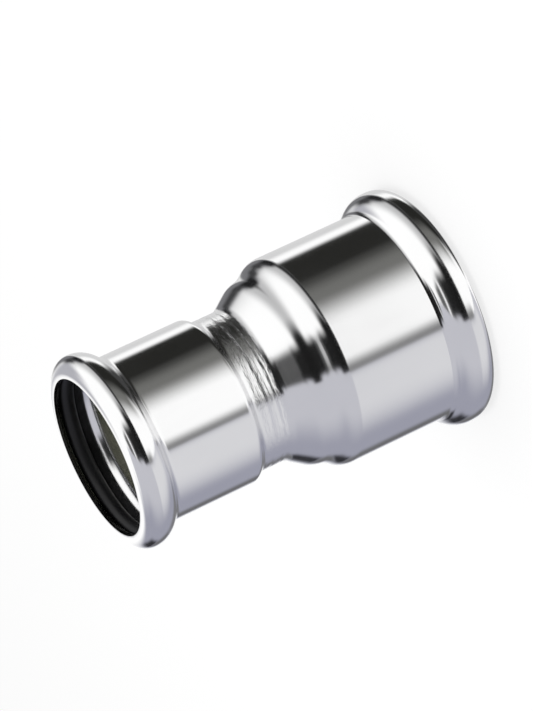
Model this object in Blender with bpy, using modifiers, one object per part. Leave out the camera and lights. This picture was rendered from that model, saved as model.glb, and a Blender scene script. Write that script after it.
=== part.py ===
"""Reducing socket for pressed pipe joints, standing on its large mouth.

One steel tube is formed into the whole body: a bead that holds a seal is rolled at each mouth,
behind it lies the socket that takes the pipe. Between the sockets lie a swaged neck and a cone, and
a shallow ledge runs round the cone.
Lengths are in metres, +Z runs up the axis, and the origin is the centre of the large mouth.
"""
import math

import bpy

# Pipes that the two sockets take
LARGE_PIPE_R = 0.0270
SMALL_PIPE_R = 0.0210

# Formed body, its stretches in order from the large mouth up to the small one
LARGE_SOCKET_DEPTH = 0.0409
WIDE_CONE_LENGTH = 0.0037
LEDGE_LENGTH = 0.0038
NARROW_CONE_LENGTH = 0.0062
NECK_LENGTH = 0.0086
SHOULDER_LENGTH = 0.0018
SMALL_SOCKET_DEPTH = 0.0350
WALL = 0.0015
NECK_R = 0.02095
LEDGE_FOOT_SHARE_OF_RISE = 0.64
LEDGE_TOP_SHARE_OF_RISE = 0.55
LARGE_BORE_CLEARANCE = 0.00035
SMALL_BORE_CLEARANCE = 0.00025
MOUTH_CLEARANCE = 0.0007
SHOULDER_FILLET = 0.0022
NECK_FILLET = 0.0040
LEDGE_FILLET_SHARE = 0.46
CONE_FILLET = 0.0065

# Rolled beads
FLANK_ANGLE = math.radians(56)
RIM_FLAT = 0.0009
CREST_SHARE_OF_FLANK = 0.58
FOOT_SHARE_OF_FLANK = 0.40

# Seals and the room round them
SEAL_SECTION_R = 0.0020
SEAL_GRIP = 0.0002
SEAL_SEAT_GAP = 0.0003
LARGE_SEAL_SIDE_PLAY = 0.0009
SMALL_SEAL_SIDE_PLAY = 0.0006

# Fineness of the round work
TURN_STEPS = 48
SEAL_STEPS = 12
ARC_STEP = math.radians(15)
MERGE_DISTANCE = 0.00001


def fillet_points(before, corner, after, radius):
    """Points of the arc that rounds a corner between two straight runs."""
    toward_before = (before[0] - corner[0], before[1] - corner[1])
    toward_after = (after[0] - corner[0], after[1] - corner[1])
    angle_before = math.atan2(toward_before[1], toward_before[0])
    angle_after = math.atan2(toward_after[1], toward_after[0])
    opening = (angle_after - angle_before + math.pi) % math.tau - math.pi
    half = abs(opening) / 2
    reach = radius / math.sin(half)
    middle = angle_before + opening / 2
    centre = (corner[0] + reach * math.cos(middle), corner[1] + reach * math.sin(middle))
    turn = math.pi - 2 * half
    count = max(3, round(turn / ARC_STEP))
    swing = math.copysign(turn, opening)
    points = []
    for index in range(count + 1):
        direction = middle + math.pi + swing * (0.5 - index / count)
        points.append((centre[0] + radius * math.cos(direction),
                       centre[1] + radius * math.sin(direction)))
    return points


def fillet_radius(before, corner, after, reach):
    """Radius of the fillet that takes up a given reach of both runs at a corner."""
    angle_before = math.atan2(before[1] - corner[1], before[0] - corner[0])
    angle_after = math.atan2(after[1] - corner[1], after[0] - corner[0])
    opening = (angle_after - angle_before + math.pi) % math.tau - math.pi
    return reach * math.tan(abs(opening) / 2)


def rounded_path(corners):
    """A run of straight lines through (r, z, fillet) corners, with the inner corners rounded."""
    points = [corners[0][:2]]
    for before, corner, after in zip(corners, corners[1:], corners[2:]):
        points += fillet_points(before, corner, after, corner[2])
    points.append(corners[-1][:2])
    return points


def end_sizes(pipe_r, bore_clearance, seal_side_play):
    """Outer sizes of one end, all worked out from its pipe, its seal and the wall."""
    seal_outer_r = pipe_r - SEAL_GRIP + 2 * SEAL_SECTION_R
    socket_r = pipe_r + bore_clearance + WALL
    bead_r = seal_outer_r + SEAL_SEAT_GAP + WALL
    groove_width = 2 * (SEAL_SECTION_R + seal_side_play)
    half_turn = math.tan(FLANK_ANGLE / 2)
    crest_end = WALL + groove_width + WALL * half_turn
    flank = (bead_r - socket_r) / math.sin(FLANK_ANGLE)
    return {
        "socket_r": socket_r,
        "bead_r": bead_r,
        "mouth_r": pipe_r + MOUTH_CLEARANCE,
        "front_fillet": bead_r - pipe_r - MOUTH_CLEARANCE - RIM_FLAT,
        "crest_fillet": CREST_SHARE_OF_FLANK * flank / half_turn,
        "foot_fillet": FOOT_SHARE_OF_FLANK * flank / half_turn,
        "crest_end": crest_end,
        "foot": crest_end + flank * math.cos(FLANK_ANGLE),
        "seal_r": pipe_r - SEAL_GRIP + SEAL_SECTION_R,
        "seal_from_mouth": WALL + groove_width / 2,
    }


def bead_corners(end, mouth_z, inward):
    """Outer corners of one rolled bead from the rim to its foot on the socket."""
    return [
        (end["mouth_r"], mouth_z, 0.0),
        (end["bead_r"], mouth_z, end["front_fillet"]),
        (end["bead_r"], mouth_z + inward * end["crest_end"], end["crest_fillet"]),
        (end["socket_r"], mouth_z + inward * end["foot"], end["foot_fillet"]),
    ]


def body_heights():
    """Heights at which the stretches of the body meet, stacked up from the large mouth."""
    cone_foot = LARGE_SOCKET_DEPTH
    ledge_foot = cone_foot + WIDE_CONE_LENGTH
    ledge_top = ledge_foot + LEDGE_LENGTH
    neck_foot = ledge_top + NARROW_CONE_LENGTH
    neck_top = neck_foot + NECK_LENGTH
    shoulder_top = neck_top + SHOULDER_LENGTH
    small_mouth = shoulder_top + SMALL_SOCKET_DEPTH
    return cone_foot, ledge_foot, ledge_top, neck_foot, neck_top, shoulder_top, small_mouth


def body_corners(small, large):
    """Outer corners of the whole body, from the small mouth at the top down to the large one."""
    cone_foot, ledge_foot, ledge_top, neck_foot, neck_top, shoulder_top, small_mouth = body_heights()
    rise = large["socket_r"] - NECK_R
    neck_corner = (NECK_R, neck_foot)
    top_corner = (NECK_R + LEDGE_TOP_SHARE_OF_RISE * rise, ledge_top)
    foot_corner = (NECK_R + LEDGE_FOOT_SHARE_OF_RISE * rise, ledge_foot)
    cone_corner = (large["socket_r"], cone_foot)
    reach = LEDGE_FILLET_SHARE * math.dist(top_corner, foot_corner)
    middle = [
        (small["socket_r"], shoulder_top, SHOULDER_FILLET),
        (NECK_R, neck_top, SHOULDER_FILLET),
        (*neck_corner, NECK_FILLET),
        (*top_corner, fillet_radius(neck_corner, top_corner, foot_corner, reach)),
        (*foot_corner, fillet_radius(top_corner, foot_corner, cone_corner, reach)),
        (*cone_corner, CONE_FILLET),
    ]
    top = bead_corners(small, small_mouth, -1)
    bottom = bead_corners(large, 0.0, 1)
    return top + middle + bottom[::-1]


def surface_material(name, colour, roughness, metallic):
    material = bpy.data.materials.new(name)
    material.use_nodes = True
    shader = material.node_tree.nodes["Principled BSDF"]
    shader.inputs["Base Color"].default_value = (*colour, 1.0)
    shader.inputs["Roughness"].default_value = roughness
    shader.inputs["Metallic"].default_value = metallic
    return material


def add_to(collection, piece, material):
    """Keep a piece in the part's own collection only, with its material."""
    for other in piece.users_collection:
        other.objects.unlink(piece)
    collection.objects.link(piece)
    piece.data.materials.clear()
    piece.data.materials.append(material)


def make_body(collection, material, small, large):
    """The open outer skin turned round Z, given the wall of the sheet on its inner side."""
    points = rounded_path(body_corners(small, large))
    mesh = bpy.data.meshes.new("fitting_body")
    vertices = [(radius, 0.0, height) for radius, height in points]
    edges = [(index, index + 1) for index in range(len(points) - 1)]
    mesh.from_pydata(vertices, edges, [])
    body = bpy.data.objects.new("fitting_body", mesh)
    add_to(collection, body, material)

    turn = body.modifiers.new("turn", "SCREW")
    turn.axis = "Z"
    turn.angle = math.tau
    turn.steps = TURN_STEPS
    turn.render_steps = TURN_STEPS
    turn.use_merge_vertices = True
    turn.merge_threshold = MERGE_DISTANCE
    turn.use_smooth_shade = True

    sheet = body.modifiers.new("sheet", "SOLIDIFY")
    sheet.thickness = WALL
    sheet.offset = -1.0
    sheet.use_even_offset = True
    return body


def make_seal(collection, material, name, end, height):
    """A round rubber ring lying in the groove inside a bead."""
    bpy.ops.mesh.primitive_torus_add(
        major_radius=end["seal_r"],
        minor_radius=SEAL_SECTION_R,
        major_segments=TURN_STEPS,
        minor_segments=SEAL_STEPS,
        location=(0.0, 0.0, height),
    )
    seal = bpy.context.active_object
    seal.name = name
    seal.data.name = name
    seal.data.shade_smooth()
    add_to(collection, seal, material)
    return seal


def main():
    for thing in list(bpy.data.objects):
        bpy.data.objects.remove(thing, do_unlink=True)

    collection = bpy.data.collections.new("reducing_socket")
    bpy.context.scene.collection.children.link(collection)

    steel = surface_material("bright_steel", (0.72, 0.72, 0.75), 0.16, 1.0)
    rubber = surface_material("seal_rubber", (0.012, 0.012, 0.013), 0.42, 0.0)

    small = end_sizes(SMALL_PIPE_R, SMALL_BORE_CLEARANCE, SMALL_SEAL_SIDE_PLAY)
    large = end_sizes(LARGE_PIPE_R, LARGE_BORE_CLEARANCE, LARGE_SEAL_SIDE_PLAY)

    make_body(collection, steel, small, large)
    small_mouth = body_heights()[-1]
    make_seal(collection, rubber, "small_seal", small, small_mouth - small["seal_from_mouth"])
    make_seal(collection, rubber, "large_seal", large, large["seal_from_mouth"])


main()
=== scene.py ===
import math
import random

import bmesh
import bpy
from mathutils import Matrix, Vector


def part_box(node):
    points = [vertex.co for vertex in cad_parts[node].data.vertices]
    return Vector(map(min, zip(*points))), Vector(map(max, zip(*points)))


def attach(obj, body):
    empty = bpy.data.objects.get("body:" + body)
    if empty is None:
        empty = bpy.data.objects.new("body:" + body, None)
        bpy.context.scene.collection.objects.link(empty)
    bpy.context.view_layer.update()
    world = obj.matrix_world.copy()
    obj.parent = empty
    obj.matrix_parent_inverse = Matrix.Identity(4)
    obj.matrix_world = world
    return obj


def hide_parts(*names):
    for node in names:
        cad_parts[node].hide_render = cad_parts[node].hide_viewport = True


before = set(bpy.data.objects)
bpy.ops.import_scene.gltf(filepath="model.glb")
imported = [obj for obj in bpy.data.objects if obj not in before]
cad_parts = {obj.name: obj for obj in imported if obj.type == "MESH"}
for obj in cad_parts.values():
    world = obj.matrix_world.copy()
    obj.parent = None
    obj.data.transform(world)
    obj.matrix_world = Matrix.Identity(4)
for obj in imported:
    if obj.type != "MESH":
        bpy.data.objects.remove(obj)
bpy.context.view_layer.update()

# Reducing socket for pressed pipe joints: a formed steel body with a rubber ring in each bead.
# Lengths are in metres. The part stands on its large mouth, +Z up its axis.

# Sheet and the room round the rings, as in the solids
WALL = 0.0015
SEAT_GAP = 0.0003
RING_GRIP = 0.0002
MOUTH_CLEARANCE = 0.0007
LARGE_BORE_CLEARANCE = 0.00035
SMALL_BORE_CLEARANCE = 0.00025

# Stretches of the body, up from the large mouth, and the neck between the sockets
LARGE_SOCKET_DEPTH = 0.0409
WIDE_CONE_LENGTH = 0.0037
LEDGE_LENGTH = 0.0038
NARROW_CONE_LENGTH = 0.0062
NECK_LENGTH = 0.0086
SHOULDER_LENGTH = 0.0018
NECK_R = 0.02095
LEDGE_FOOT_SHARE_OF_RISE = 0.64
LEDGE_TOP_SHARE_OF_RISE = 0.55
SHOULDER_FILLET = 0.0022
NECK_FILLET = 0.0040
LEDGE_FILLET_SHARE = 0.46
CONE_FILLET = 0.0065
LEDGE_FOOT = LARGE_SOCKET_DEPTH + WIDE_CONE_LENGTH
LEDGE_TOP = LEDGE_FOOT + LEDGE_LENGTH
NECK_FOOT = LEDGE_TOP + NARROW_CONE_LENGTH
NECK_TOP = NECK_FOOT + NECK_LENGTH

# Rolled beads: the crest is a little rounder and the foot a little sharper than in the solids
FLANK_ANGLE = math.radians(56)
RIM_FLAT = 0.0009
CREST_SHARE_OF_FLANK = 0.72
FOOT_SHARE_OF_FLANK = 0.24
CUT_EDGE_ROUND = 0.0006
CUT_EDGE_STEPS = 3
CUT_EDGE_ANGLE = math.radians(60)

# Fine lines that the forming rolls leave round the neck. The shares are of a line's mean width and
# of its full depth.
FORMING_LINES = 14
FORMING_LINE_DEPTH = 0.000014
LINE_WIDTH_SHARES = (0.5, 1.5)
LINE_DEPTH_SHARES = (0.2, 1.0)
LINE_SEED = 7
POINTS_PER_LINE = 6

# Broad marks of the rolls: height above the foot of the neck, half the width and the depth
ROLL_MARKS = (
    (0.0054, 0.0010, 0.000055),
    (0.0027, 0.0008, 0.000045),
)

# Fineness of the round work
BODY_STEPS = 200
RING_STEPS = 200
RING_SECTION_STEPS = 40
ARC_STEP = math.radians(5)
MIN_ARC_STEPS = 3
MERGE_DISTANCE = 0.000001

# Steel colours: the plating and its faint clouds, then painted shade: darker in the bore past the
# beads, and near black in each ring's groove out to the mouth
PLATING = (0.80, 0.80, 0.81, 1.0)
PLATING_CLOUD = (0.86, 0.86, 0.865, 1.0)
BORE_PAINTED_SHADE = (0.66, 0.66, 0.61, 1.0)
GROOVE_PAINTED_SHADE = (0.06, 0.06, 0.055, 1.0)

# Steel roughness: the bare polish, and what each trace adds to it
POLISH_ROUGHNESS = 0.08
CLOUD_ROUGHNESS = 0.05
MARK_ROUGHNESS = 0.03
NECK_ROUGHNESS = 0.06
BORE_ROUGHNESS = 0.08

# Steel relief: its height and strength, and the share of each trace
STEEL_RELIEF = 0.00002
STEEL_RELIEF_STRENGTH = 0.35
WAVE_RELIEF = 9.0
LINE_RELIEF = 0.15
MARK_RELIEF = 0.10
NECK_BROAD_LINE_RELIEF = 0.8
NECK_FINE_LINE_RELIEF = 0.6
NECK_GRAIN_RELIEF = 10.0

# Where the colours inside an end stop: the groove's painted shade past the ring's middle, the
# bright plating past the bead's foot, where the bore's painted shade begins, and both past the
# mouth
GROOVE_SHADE_PAST_RING = 0.0028
BRIGHT_PAST_FOOT = 0.001
PAST_MOUTH = 0.001

# Half the width over which each finish fades, and for the bore half the change in facing
GROOVE_SHADE_SOFTNESS = 0.0005
BRIGHT_SOFTNESS = 0.0003
NECK_FOOT_SOFTNESS = 0.002
NECK_TOP_SOFTNESS = 0.0008
BORE_SOFTNESS = 0.25

# Rubber: its colour between dry and greased, its roughness and its moulding grain
DRY_RUBBER = (0.004, 0.004, 0.005, 1.0)
GREASED_RUBBER = (0.009, 0.009, 0.010, 1.0)
RUBBER_ROUGHNESS = 0.36
GREASE_ROUGHNESS = 0.20
RUBBER_SHEEN = 0.3
RUBBER_RELIEF = 0.00003
RUBBER_RELIEF_STRENGTH = 0.3

# Camera: the photograph shows the fitting lying down, so the camera on the upright one is rolled.
# Its angles are in degrees and its lens in millimetres.
CAMERA_ELEVATION = 19.57
CAMERA_ROLL = -115.09
CAMERA_DISTANCE = 1.0901
CAMERA_LENS = 215.9
CAMERA_AIM = Vector((0.0052, -0.0009, 0.0476))

# Lamp overhead, the even level of the room and the floor
ROOM_LEVEL = (0.80, 0.80, 0.80, 1.0)
LAMP_HEIGHT = 0.70
LAMP_SIZE = 0.60
LAMP_POWER = 2.2
WHITE = (1.0, 1.0, 1.0, 1.0)
FLOOR_PAINT = (0.93, 0.93, 0.93, 1.0)
FLOOR_SIZE = 6.0
FLOOR_DROP = 0.0002
FLOOR_SHADE_SHARE = 0.30

# The room that the steel mirrors, as panels seen from the fitting, each over the ones before it.
# Azimuth 0 is toward the camera and +90 toward +X. A row gives the panel's azimuths, how softly
# they end, its elevations, how softly they end, and its colour, all angles in degrees.
ROOM_WHITE = (1.20, 1.20, 1.19, 1.0)
SOFTBOX = (0.62, 0.62, 0.67)
BENCH_TOP = -16.2
PANELS = [
    ("left softbox", (-152, -29), (5, 1), (-95, 88), (1, 4), SOFTBOX),
    ("left softbox, behind curtain", (-40, -10), (4, 2), (BENCH_TOP, 70), (0.8, 6), SOFTBOX),
    ("left softbox, far side", (-165, -95), (10, 25), (-60, 50), (12, 12), (0.38, 0.385, 0.46)),
    ("left softbox, low front", (-88, -34), (24, 5), (-70, -17), (10, 2), (0.80, 0.80, 0.82)),
    ("gap behind the softbox", (-160, -139), (5, 5), (-5, 14), (4, 6), (0.03, 0.03, 0.035)),
    ("gap behind the softbox, low", (-158, -141), (4, 7), (-26, -5), (4, 4), (0.16, 0.16, 0.165)),
    ("floor on the far left", (-178, -140), (4, 8), (-58, -26), (8, 4), (0.22, 0.22, 0.23)),
    ("wall behind", (134, 178), (12, 4), (8, 42), (8, 12), (0.50, 0.50, 0.54)),
    ("right softbox, dim foot", (22, 134), (9, 8), (BENCH_TOP, 14), (1, 14), (0.62, 0.62, 0.62)),
    ("ceiling over the camera", (-28, 22), (4, 9), (36, 80), (8, 6), (0.12, 0.12, 0.12)),
    ("ceiling strip", (-28, 22), (4, 9), (52.8, 60), (3, 4), (1.10, 1.10, 1.10)),
    ("curtain hem", (0, 40), (5, 15), (-4, 12), (3, 9), (0.025, 0.025, 0.025)),
    ("black curtain, high", (-24, 20), (4, 9), (0, 46), (5, 8), (0.012, 0.012, 0.012)),
    ("black curtain", (-29, 30), (1.5, 8), (BENCH_TOP, 14), (0.8, 9), (0.010, 0.010, 0.010)),
    ("gap beside the softbox", (-31, -20.5), (2, 7), (-36, -15.5), (10, 1), (0.25, 0.25, 0.25)),
    ("dark horizon", (26, 118), (9, 5), (BENCH_TOP, -6), (0.8, 4), (0.03, 0.03, 0.03)),
    ("corner behind, far part", (120, 171), (6, 6), (-14.5, 5), (2, 6), (0.20, 0.20, 0.21)),
    ("corner behind, right part", (116, 142), (5, 7), (-13, 0), (2, 4), (0.015, 0.015, 0.016)),
    ("corner behind, upper part", (130, 150), (5, 6), (-3, 12), (4, 6), (0.05, 0.05, 0.052)),
    ("floor behind", (137, 184), (7, 4), (-44, -15.5), (8, 1), (0.74, 0.74, 0.74)),
    ("right floor edge", (36, 84), (17, 12), (-62, -16), (12, 1), (0.19, 0.19, 0.18)),
    ("dark bench on the right", (69, 121), (13, 5), (-74, -16), (10, 1), (0.022, 0.022, 0.02)),
    ("dark bench behind", (108, 170), (6, 6), (-80, -42), (6, 6), (0.06, 0.06, 0.06)),
]


# Outline of the formed body

def corner_angles(before, corner, after):
    """Direction from a corner to the point before it, and the turn from there to the one after."""
    angle_before = math.atan2(before[1] - corner[1], before[0] - corner[0])
    angle_after = math.atan2(after[1] - corner[1], after[0] - corner[0])
    return angle_before, (angle_after - angle_before + math.pi) % math.tau - math.pi


def fillet_points(before, corner, after, radius):
    """Points of the arc that rounds a corner between two straight runs."""
    angle_before, opening = corner_angles(before, corner, after)
    half = abs(opening) / 2
    reach = radius / math.sin(half)
    middle = angle_before + opening / 2
    centre = (corner[0] + reach * math.cos(middle), corner[1] + reach * math.sin(middle))
    turn = math.pi - 2 * half
    count = max(MIN_ARC_STEPS, round(turn / ARC_STEP))
    swing = math.copysign(turn, opening)
    points = []
    for index in range(count + 1):
        direction = middle + math.pi + swing * (0.5 - index / count)
        points.append((centre[0] + radius * math.cos(direction),
                       centre[1] + radius * math.sin(direction)))
    return points


def fillet_radius(before, corner, after, reach):
    """Radius of the fillet that takes up a given reach of both runs at a corner."""
    _, opening = corner_angles(before, corner, after)
    return reach * math.tan(abs(opening) / 2)


def rounded_path(corners):
    """A run of straight lines through (r, z, fillet) corners, with the inner corners rounded."""
    points = [corners[0][:2]]
    for before, corner, after in zip(corners, corners[1:], corners[2:]):
        points += fillet_points(before, corner, after, corner[2])
    points.append(corners[-1][:2])
    return points


def end_sizes(ring_node, mouth_z, bore_clearance):
    """Outer sizes and heights of one end, read from its ring in the frame."""
    low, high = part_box(ring_node)
    section_r = (high.z - low.z) / 2
    ring_z = (high.z + low.z) / 2
    inward = math.copysign(1.0, ring_z - mouth_z)
    pipe_r = high.x - 2 * section_r + RING_GRIP
    mouth_r = pipe_r + MOUTH_CLEARANCE
    socket_r = pipe_r + bore_clearance + WALL
    bead_r = high.x + SEAT_GAP + WALL
    groove_width = 2 * (abs(mouth_z - ring_z) - WALL)
    half_turn = math.tan(FLANK_ANGLE / 2)
    crest_end = WALL + groove_width + WALL * half_turn
    flank = (bead_r - socket_r) / math.sin(FLANK_ANGLE)
    foot = crest_end + flank * math.cos(FLANK_ANGLE)
    return {
        "ring_r": high.x - section_r,
        "section_r": section_r,
        "ring_z": ring_z,
        "mouth_z": mouth_z,
        "crest_z": mouth_z + inward * crest_end,
        "foot_z": mouth_z + inward * foot,
        "outside_z": mouth_z - inward * PAST_MOUTH,
        "groove_shade_z": ring_z + inward * GROOVE_SHADE_PAST_RING,
        "bright_z": mouth_z + inward * (foot + BRIGHT_PAST_FOOT),
        "mouth_r": mouth_r,
        "bead_r": bead_r,
        "socket_r": socket_r,
        "front_fillet": bead_r - mouth_r - RIM_FLAT,
        "crest_fillet": CREST_SHARE_OF_FLANK * flank / half_turn,
        "foot_fillet": FOOT_SHARE_OF_FLANK * flank / half_turn,
    }


def bead_corners(end):
    """Outer corners of one rolled bead from the rim to its foot on the socket."""
    return [
        (end["mouth_r"], end["mouth_z"], 0.0),
        (end["bead_r"], end["mouth_z"], end["front_fillet"]),
        (end["bead_r"], end["crest_z"], end["crest_fillet"]),
        (end["socket_r"], end["foot_z"], end["foot_fillet"]),
    ]


def roll_mark_depth(z):
    """Depth of the rolls' broad marks at a height on the neck."""
    above_foot = z - NECK_FOOT
    return sum(depth * (1 + math.cos(math.pi * (above_foot - middle) / half_width)) / 2
               for middle, half_width, depth in ROLL_MARKS
               if abs(above_foot - middle) < half_width)


def forming_lines(top_z, foot_z):
    """Points down the neck, where the rolls left shallow lines of uneven width and depth."""
    chance = random.Random(LINE_SEED)
    widths = [chance.uniform(*LINE_WIDTH_SHARES) for _ in range(FORMING_LINES)]
    points = []
    height = top_z
    for width in widths:
        drop = (foot_z - top_z) * width / sum(widths)
        depth = FORMING_LINE_DEPTH * chance.uniform(*LINE_DEPTH_SHARES)
        for index in range(POINTS_PER_LINE):
            along = index / POINTS_PER_LINE
            dip = depth * (1 - math.cos(math.tau * along)) / 2
            z = height + drop * along
            points.append((NECK_R - dip - roll_mark_depth(z), z))
        height += drop
    return points


def body_outline(small, large):
    """The outer outline from the small mouth at the top down to the large one."""
    rise = large["socket_r"] - NECK_R
    neck_corner = (NECK_R, NECK_FOOT)
    top_corner = (NECK_R + LEDGE_TOP_SHARE_OF_RISE * rise, LEDGE_TOP)
    foot_corner = (NECK_R + LEDGE_FOOT_SHARE_OF_RISE * rise, LEDGE_FOOT)
    cone_corner = (large["socket_r"], LARGE_SOCKET_DEPTH)
    reach = LEDGE_FILLET_SHARE * math.dist(top_corner, foot_corner)
    upper = bead_corners(small) + [
        (small["socket_r"], NECK_TOP + SHOULDER_LENGTH, SHOULDER_FILLET),
        (NECK_R, NECK_TOP, SHOULDER_FILLET),
        (*neck_corner, 0.0),
    ]
    lower = [
        (NECK_R, NECK_TOP, 0.0),
        (*neck_corner, NECK_FILLET),
        (*top_corner, fillet_radius(neck_corner, top_corner, foot_corner, reach)),
        (*foot_corner, fillet_radius(top_corner, foot_corner, cone_corner, reach)),
        (*cone_corner, CONE_FILLET),
    ] + bead_corners(large)[::-1]
    above = rounded_path(upper)[:-1]
    below = rounded_path(lower)[1:]
    return above + forming_lines(above[-1][1], below[0][1])[1:] + below


# Meshes

def new_piece(name, shape, material, node):
    """A finished piece from a bmesh, riding on the part in the place of a solid."""
    mesh = bpy.data.meshes.new(name)
    shape.to_mesh(mesh)
    shape.free()
    mesh.shade_smooth()
    mesh.materials.append(material)
    piece = bpy.data.objects.new(name, mesh)
    bpy.context.scene.collection.objects.link(piece)
    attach(piece, "root")
    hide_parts(node)
    return piece


def spin_outline(points, steps, closed):
    """A bmesh of an (r, z) outline spun once round Z."""
    shape = bmesh.new()
    ring = [shape.verts.new((radius, 0.0, height)) for radius, height in points]
    edges = [shape.edges.new(pair) for pair in zip(ring, ring[1:])]
    if closed:
        edges.append(shape.edges.new((ring[-1], ring[0])))
    bmesh.ops.spin(shape, geom=ring + edges, cent=(0.0, 0.0, 0.0), axis=(0.0, 0.0, 1.0),
                   angle=math.tau, steps=steps, use_merge=True)
    bmesh.ops.remove_doubles(shape, verts=shape.verts[:], dist=MERGE_DISTANCE)
    bmesh.ops.recalc_face_normals(shape, faces=shape.faces[:])
    return shape


def make_body(small, large, material):
    """The outer skin spun round Z, with the sheet's wall inside it and its cut edges rounded."""
    shape = spin_outline(body_outline(small, large), BODY_STEPS, closed=False)
    outermost = max(shape.faces, key=lambda face: face.calc_center_median().xy.length)
    if outermost.normal.xy.dot(outermost.calc_center_median().xy) < 0:
        bmesh.ops.reverse_faces(shape, faces=shape.faces[:])
    body = new_piece("formed_body", shape, material, "fitting_body")

    sheet = body.modifiers.new("sheet", "SOLIDIFY")
    sheet.thickness = WALL
    sheet.offset = -1.0
    sheet.use_even_offset = True

    edge = body.modifiers.new("cut_edges", "BEVEL")
    edge.width = CUT_EDGE_ROUND
    edge.segments = CUT_EDGE_STEPS
    edge.limit_method = "ANGLE"
    edge.angle_limit = CUT_EDGE_ANGLE


def make_ring(name, end, material, node):
    """A moulded rubber ring: a round section spun round Z."""
    points = []
    for index in range(RING_SECTION_STEPS):
        turn = math.tau * index / RING_SECTION_STEPS
        points.append((end["ring_r"] + end["section_r"] * math.cos(turn),
                       end["ring_z"] + end["section_r"] * math.sin(turn)))
    shape = spin_outline(points, RING_STEPS, closed=True)
    new_piece(name, shape, material, node)


# Shader arithmetic

class Link:
    """An output socket that takes part in plain arithmetic."""

    def __init__(self, shader, socket):
        self.shader = shader
        self.socket = socket

    def out(self, name):
        """Another output of the same node."""
        return Link(self.shader, self.socket.node.outputs[name])

    def math(self, operation, *values):
        """A Math node on these values, in their order."""
        return self.shader.node("ShaderNodeMath", {"operation": operation}, dict(enumerate(values)))

    def __add__(self, other):
        return self.math("ADD", self, other)

    def __radd__(self, other):
        return self.math("ADD", other, self)

    def __sub__(self, other):
        return self.math("SUBTRACT", self, other)

    def __rsub__(self, other):
        return self.math("SUBTRACT", other, self)

    def __mul__(self, other):
        return self.math("MULTIPLY", self, other)

    def __rmul__(self, other):
        return self.math("MULTIPLY", other, self)


class Shader:
    """Makes the nodes of one node tree."""

    def __init__(self, tree):
        self.tree = tree
        tree.nodes.clear()

    def node(self, kind, settings=None, inputs=None, output=0):
        """A node of a kind, its settings made first, then its sockets set or linked."""
        node = self.tree.nodes.new(kind)
        for name, value in (settings or {}).items():
            setattr(node, name, value)
        for name, value in (inputs or {}).items():
            if isinstance(value, Link):
                self.tree.links.new(value.socket, node.inputs[name])
            else:
                node.inputs[name].default_value = value
        return Link(self, node.outputs[output])

    def finish(self, kind, surface):
        """Link the finished surface to an output node of a kind."""
        output = self.tree.nodes.new(kind)
        self.tree.links.new(surface.socket, output.inputs["Surface"])

    def vector(self, operation, inputs, output=0):
        """A Vector Math node."""
        return self.node("ShaderNodeVectorMath", {"operation": operation}, inputs, output)

    def step(self, value, at, softness):
        """0 well below a value and 1 well above it, with a soft change between."""
        return self.node("ShaderNodeMapRange", {"interpolation_type": "SMOOTHSTEP"},
                         {"Value": value, "From Min": at - softness, "From Max": at + softness})

    def within(self, value, low, high, low_softness, high_softness):
        """1 between two values and 0 outside them, with soft changes."""
        return self.step(value, low, low_softness) * (1 - self.step(value, high, high_softness))

    def mix(self, share, below, above):
        """Two colours mixed by a share."""
        return self.node("ShaderNodeMix", {"data_type": "RGBA"},
                         {0: share, 6: below, 7: above}, output=2)

    def noise(self, across, along, detail):
        """Noise on the object's own coordinates, its frequencies per metre across and along Z."""
        place = self.node("ShaderNodeTexCoord", output="Object")
        mapped = self.node("ShaderNodeMapping", {},
                           {"Vector": place, "Scale": (across, across, along)})
        return self.node("ShaderNodeTexNoise", {},
                         {"Vector": mapped, "Scale": 1.0, "Detail": detail})

    def relief(self, height, distance, strength):
        """A bump as deep as a distance."""
        return self.node("ShaderNodeBump", {},
                         {"Strength": strength, "Distance": distance, "Height": height})


def new_material(name):
    """A material and the maker of its nodes."""
    material = bpy.data.materials.new(name)
    material.use_nodes = True
    return material, Shader(material.node_tree)


def faces_inward(shader, place):
    """1 where the surface faces the axis, as in the bore, and 0 where it faces away."""
    facing = shader.node("ShaderNodeTexCoord", output="Normal")
    outward = shader.vector("MULTIPLY", {0: place, 1: (1.0, 1.0, 0.0)})
    outward = shader.vector("NORMALIZE", {0: outward})
    turned_out = shader.vector("DOT_PRODUCT", {0: facing, 1: outward}, output="Value")
    return 1 - shader.step(turned_out, -BORE_SOFTNESS, BORE_SOFTNESS)


def near_mouths(shader, height, ends, inner, softness):
    """1 from each mouth in to one of its end's heights, and 0 farther in."""
    spans = [sorted((end["outside_z"], end[inner])) for end in ends]
    return sum(shader.within(height, low, high, softness, softness) for low, high in spans)


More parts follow.
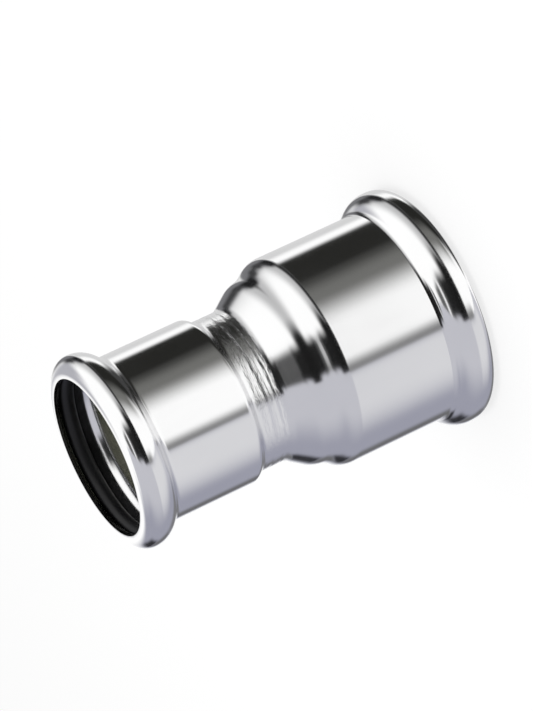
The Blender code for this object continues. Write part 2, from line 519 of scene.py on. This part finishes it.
def steel_material(small, large):
    """Bright plated steel, lined round the axis and grained on the neck, rougher and with painted
    shade in the bore.
    """
    material, shader = new_material("bright_steel")
    place = shader.node("ShaderNodeTexCoord", output="Object")
    height = shader.node("ShaderNodeSeparateXYZ", {}, {0: place}, output="Z")
    neck = shader.within(height, NECK_FOOT, NECK_TOP, NECK_FOOT_SOFTNESS, NECK_TOP_SOFTNESS)
    bore = faces_inward(shader, place)
    groove = near_mouths(shader, height, (small, large), "groove_shade_z", GROOVE_SHADE_SOFTNESS)
    bright = near_mouths(shader, height, (small, large), "bright_z", BRIGHT_SOFTNESS)

    fine_lines = shader.noise(across=25.0, along=5000.0, detail=3.0)
    broad_lines = shader.noise(across=12.0, along=1300.0, detail=2.0)
    marks = shader.noise(across=900.0, along=60.0, detail=4.0)
    clouds = shader.noise(across=60.0, along=60.0, detail=3.0)
    waves = shader.noise(across=40.0, along=40.0, detail=1.0)
    grain = shader.noise(across=600.0, along=1500.0, detail=3.0)

    roughness = (POLISH_ROUGHNESS + CLOUD_ROUGHNESS * clouds + MARK_ROUGHNESS * marks
                 + NECK_ROUGHNESS * neck + BORE_ROUGHNESS * bore)
    colour = shader.mix(clouds, PLATING, PLATING_CLOUD)
    # Painted shade: past each bead's foot, the bore's steel is painted darker and more olive than
    # the plating
    colour = shader.mix(bore * (1 - bright), colour, BORE_PAINTED_SHADE)
    # Painted shade: from each ring's middle out past the mouth, the bore's steel is painted near
    # black, the lip's cut edge included
    colour = shader.mix(bore * groove, colour, GROOVE_PAINTED_SHADE)
    neck_relief = (NECK_BROAD_LINE_RELIEF * broad_lines + NECK_FINE_LINE_RELIEF * fine_lines
                   + NECK_GRAIN_RELIEF * grain)
    relief = (WAVE_RELIEF * waves + LINE_RELIEF * fine_lines + MARK_RELIEF * marks
              + neck * neck_relief)
    surface = shader.node("ShaderNodeBsdfPrincipled", {}, {
        "Base Color": colour,
        "Metallic": 1.0,
        "Roughness": roughness,
        "Normal": shader.relief(relief, STEEL_RELIEF, STEEL_RELIEF_STRENGTH),
    })
    shader.finish("ShaderNodeOutputMaterial", surface)
    return material


def rubber_material():
    """Black seal rubber with a thin film of grease and a little moulding grain."""
    material, shader = new_material("seal_rubber")
    grain = shader.noise(across=2500.0, along=2500.0, detail=3.0)
    film = shader.noise(across=150.0, along=150.0, detail=2.0)
    surface = shader.node("ShaderNodeBsdfPrincipled", {}, {
        "Base Color": shader.mix(film, DRY_RUBBER, GREASED_RUBBER),
        "Roughness": RUBBER_ROUGHNESS + GREASE_ROUGHNESS * film,
        "Specular IOR Level": RUBBER_SHEEN,
        "Normal": shader.relief(grain, RUBBER_RELIEF, RUBBER_RELIEF_STRENGTH),
    })
    shader.finish("ShaderNodeOutputMaterial", surface)
    return material


# Studio

def make_camera():
    """The camera at the photograph's angle, rolled so that the fitting lies as it does there."""
    elevation = math.radians(CAMERA_ELEVATION)
    toward_camera = Vector((0.0, -math.cos(elevation), math.sin(elevation)))
    upright = Matrix.Rotation(math.radians(90 - CAMERA_ELEVATION), 4, "X")
    roll = Matrix.Rotation(math.radians(CAMERA_ROLL), 4, "Z")
    data = bpy.data.cameras.new("camera")
    data.lens = CAMERA_LENS
    camera = bpy.data.objects.new("camera", data)
    place = Matrix.Translation(CAMERA_AIM + CAMERA_DISTANCE * toward_camera)
    camera.matrix_world = place @ upright @ roll
    bpy.context.scene.collection.objects.link(camera)
    bpy.context.scene.camera = camera


def make_room():
    """The world: white to the camera, painted panels to mirrors and an even level to the rest."""
    world = bpy.data.worlds.new("room")
    world.use_nodes = True
    bpy.context.scene.world = world
    shader = Shader(world.node_tree)
    direction = shader.node("ShaderNodeTexCoord", output="Generated")
    across = shader.node("ShaderNodeSeparateXYZ", {}, {0: direction}, output="X")
    toward = across.out("Y") * -1.0
    azimuth = across.math("ARCTAN2", across, toward) * math.degrees(1)
    elevation = across.math("ARCSINE", across.out("Z")) * math.degrees(1)
    colour = ROOM_WHITE
    for _, azimuths, azimuth_softness, elevations, elevation_softness, panel in PANELS:
        middle = sum(azimuths) / 2
        half = (azimuths[1] - azimuths[0]) / 2
        turned = azimuth.math("WRAP", azimuth - middle, 180.0, -180.0)
        mask = (shader.within(turned, -half, half, *azimuth_softness)
                * shader.within(elevation, *elevations, *elevation_softness))
        colour = shader.mix(mask, colour, (*panel, 1.0))
    rays = shader.node("ShaderNodeLightPath", output="Is Glossy Ray")
    colour = shader.mix(rays, ROOM_LEVEL, colour)
    seen = rays.math("MAXIMUM", rays.out("Is Camera Ray"), rays.out("Is Transmission Ray"))
    colour = shader.mix(seen, colour, WHITE)
    background = shader.node("ShaderNodeBackground", {}, {"Color": colour, "Strength": 1.0})
    shader.finish("ShaderNodeOutputWorld", background)


def make_floor():
    """A pale floor that keeps a light shadow. Mirrors see the room's panels instead of it."""
    shape = bmesh.new()
    bmesh.ops.create_grid(shape, x_segments=1, y_segments=1, size=FLOOR_SIZE / 2,
                          matrix=Matrix.Translation((0.0, 0.0, -FLOOR_DROP)))
    mesh = bpy.data.meshes.new("floor")
    shape.to_mesh(mesh)
    shape.free()
    material, shader = new_material("floor")
    paint = shader.node("ShaderNodeBsdfDiffuse", {}, {"Color": FLOOR_PAINT})
    glow = shader.node("ShaderNodeEmission", {}, {"Color": WHITE, "Strength": 1.0})
    blend = shader.node("ShaderNodeMixShader", {}, {0: FLOOR_SHADE_SHARE, 1: glow, 2: paint})
    shader.finish("ShaderNodeOutputMaterial", blend)
    mesh.materials.append(material)
    floor = bpy.data.objects.new("floor", mesh)
    floor.visible_glossy = False
    bpy.context.scene.collection.objects.link(floor)


def make_lamp():
    """A soft round lamp overhead, which mirrors don't see."""
    data = bpy.data.lights.new("overhead_lamp", "AREA")
    data.shape = "DISK"
    data.size = LAMP_SIZE
    data.energy = LAMP_POWER
    lamp = bpy.data.objects.new("overhead_lamp", data)
    lamp.location = (0.0, 0.0, LAMP_HEIGHT)
    lamp.visible_glossy = False
    bpy.context.scene.collection.objects.link(lamp)


def main():
    body_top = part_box("fitting_body")[1].z
    small = end_sizes("small_seal", body_top, SMALL_BORE_CLEARANCE)
    large = end_sizes("large_seal", 0.0, LARGE_BORE_CLEARANCE)
    rubber = rubber_material()
    make_body(small, large, steel_material(small, large))
    make_ring("small_sealing_ring", small, rubber, "small_seal")
    make_ring("large_sealing_ring", large, rubber, "large_seal")
    make_camera()
    make_room()
    make_floor()
    make_lamp()
    bpy.context.scene.view_settings.view_transform = "Standard"


main()
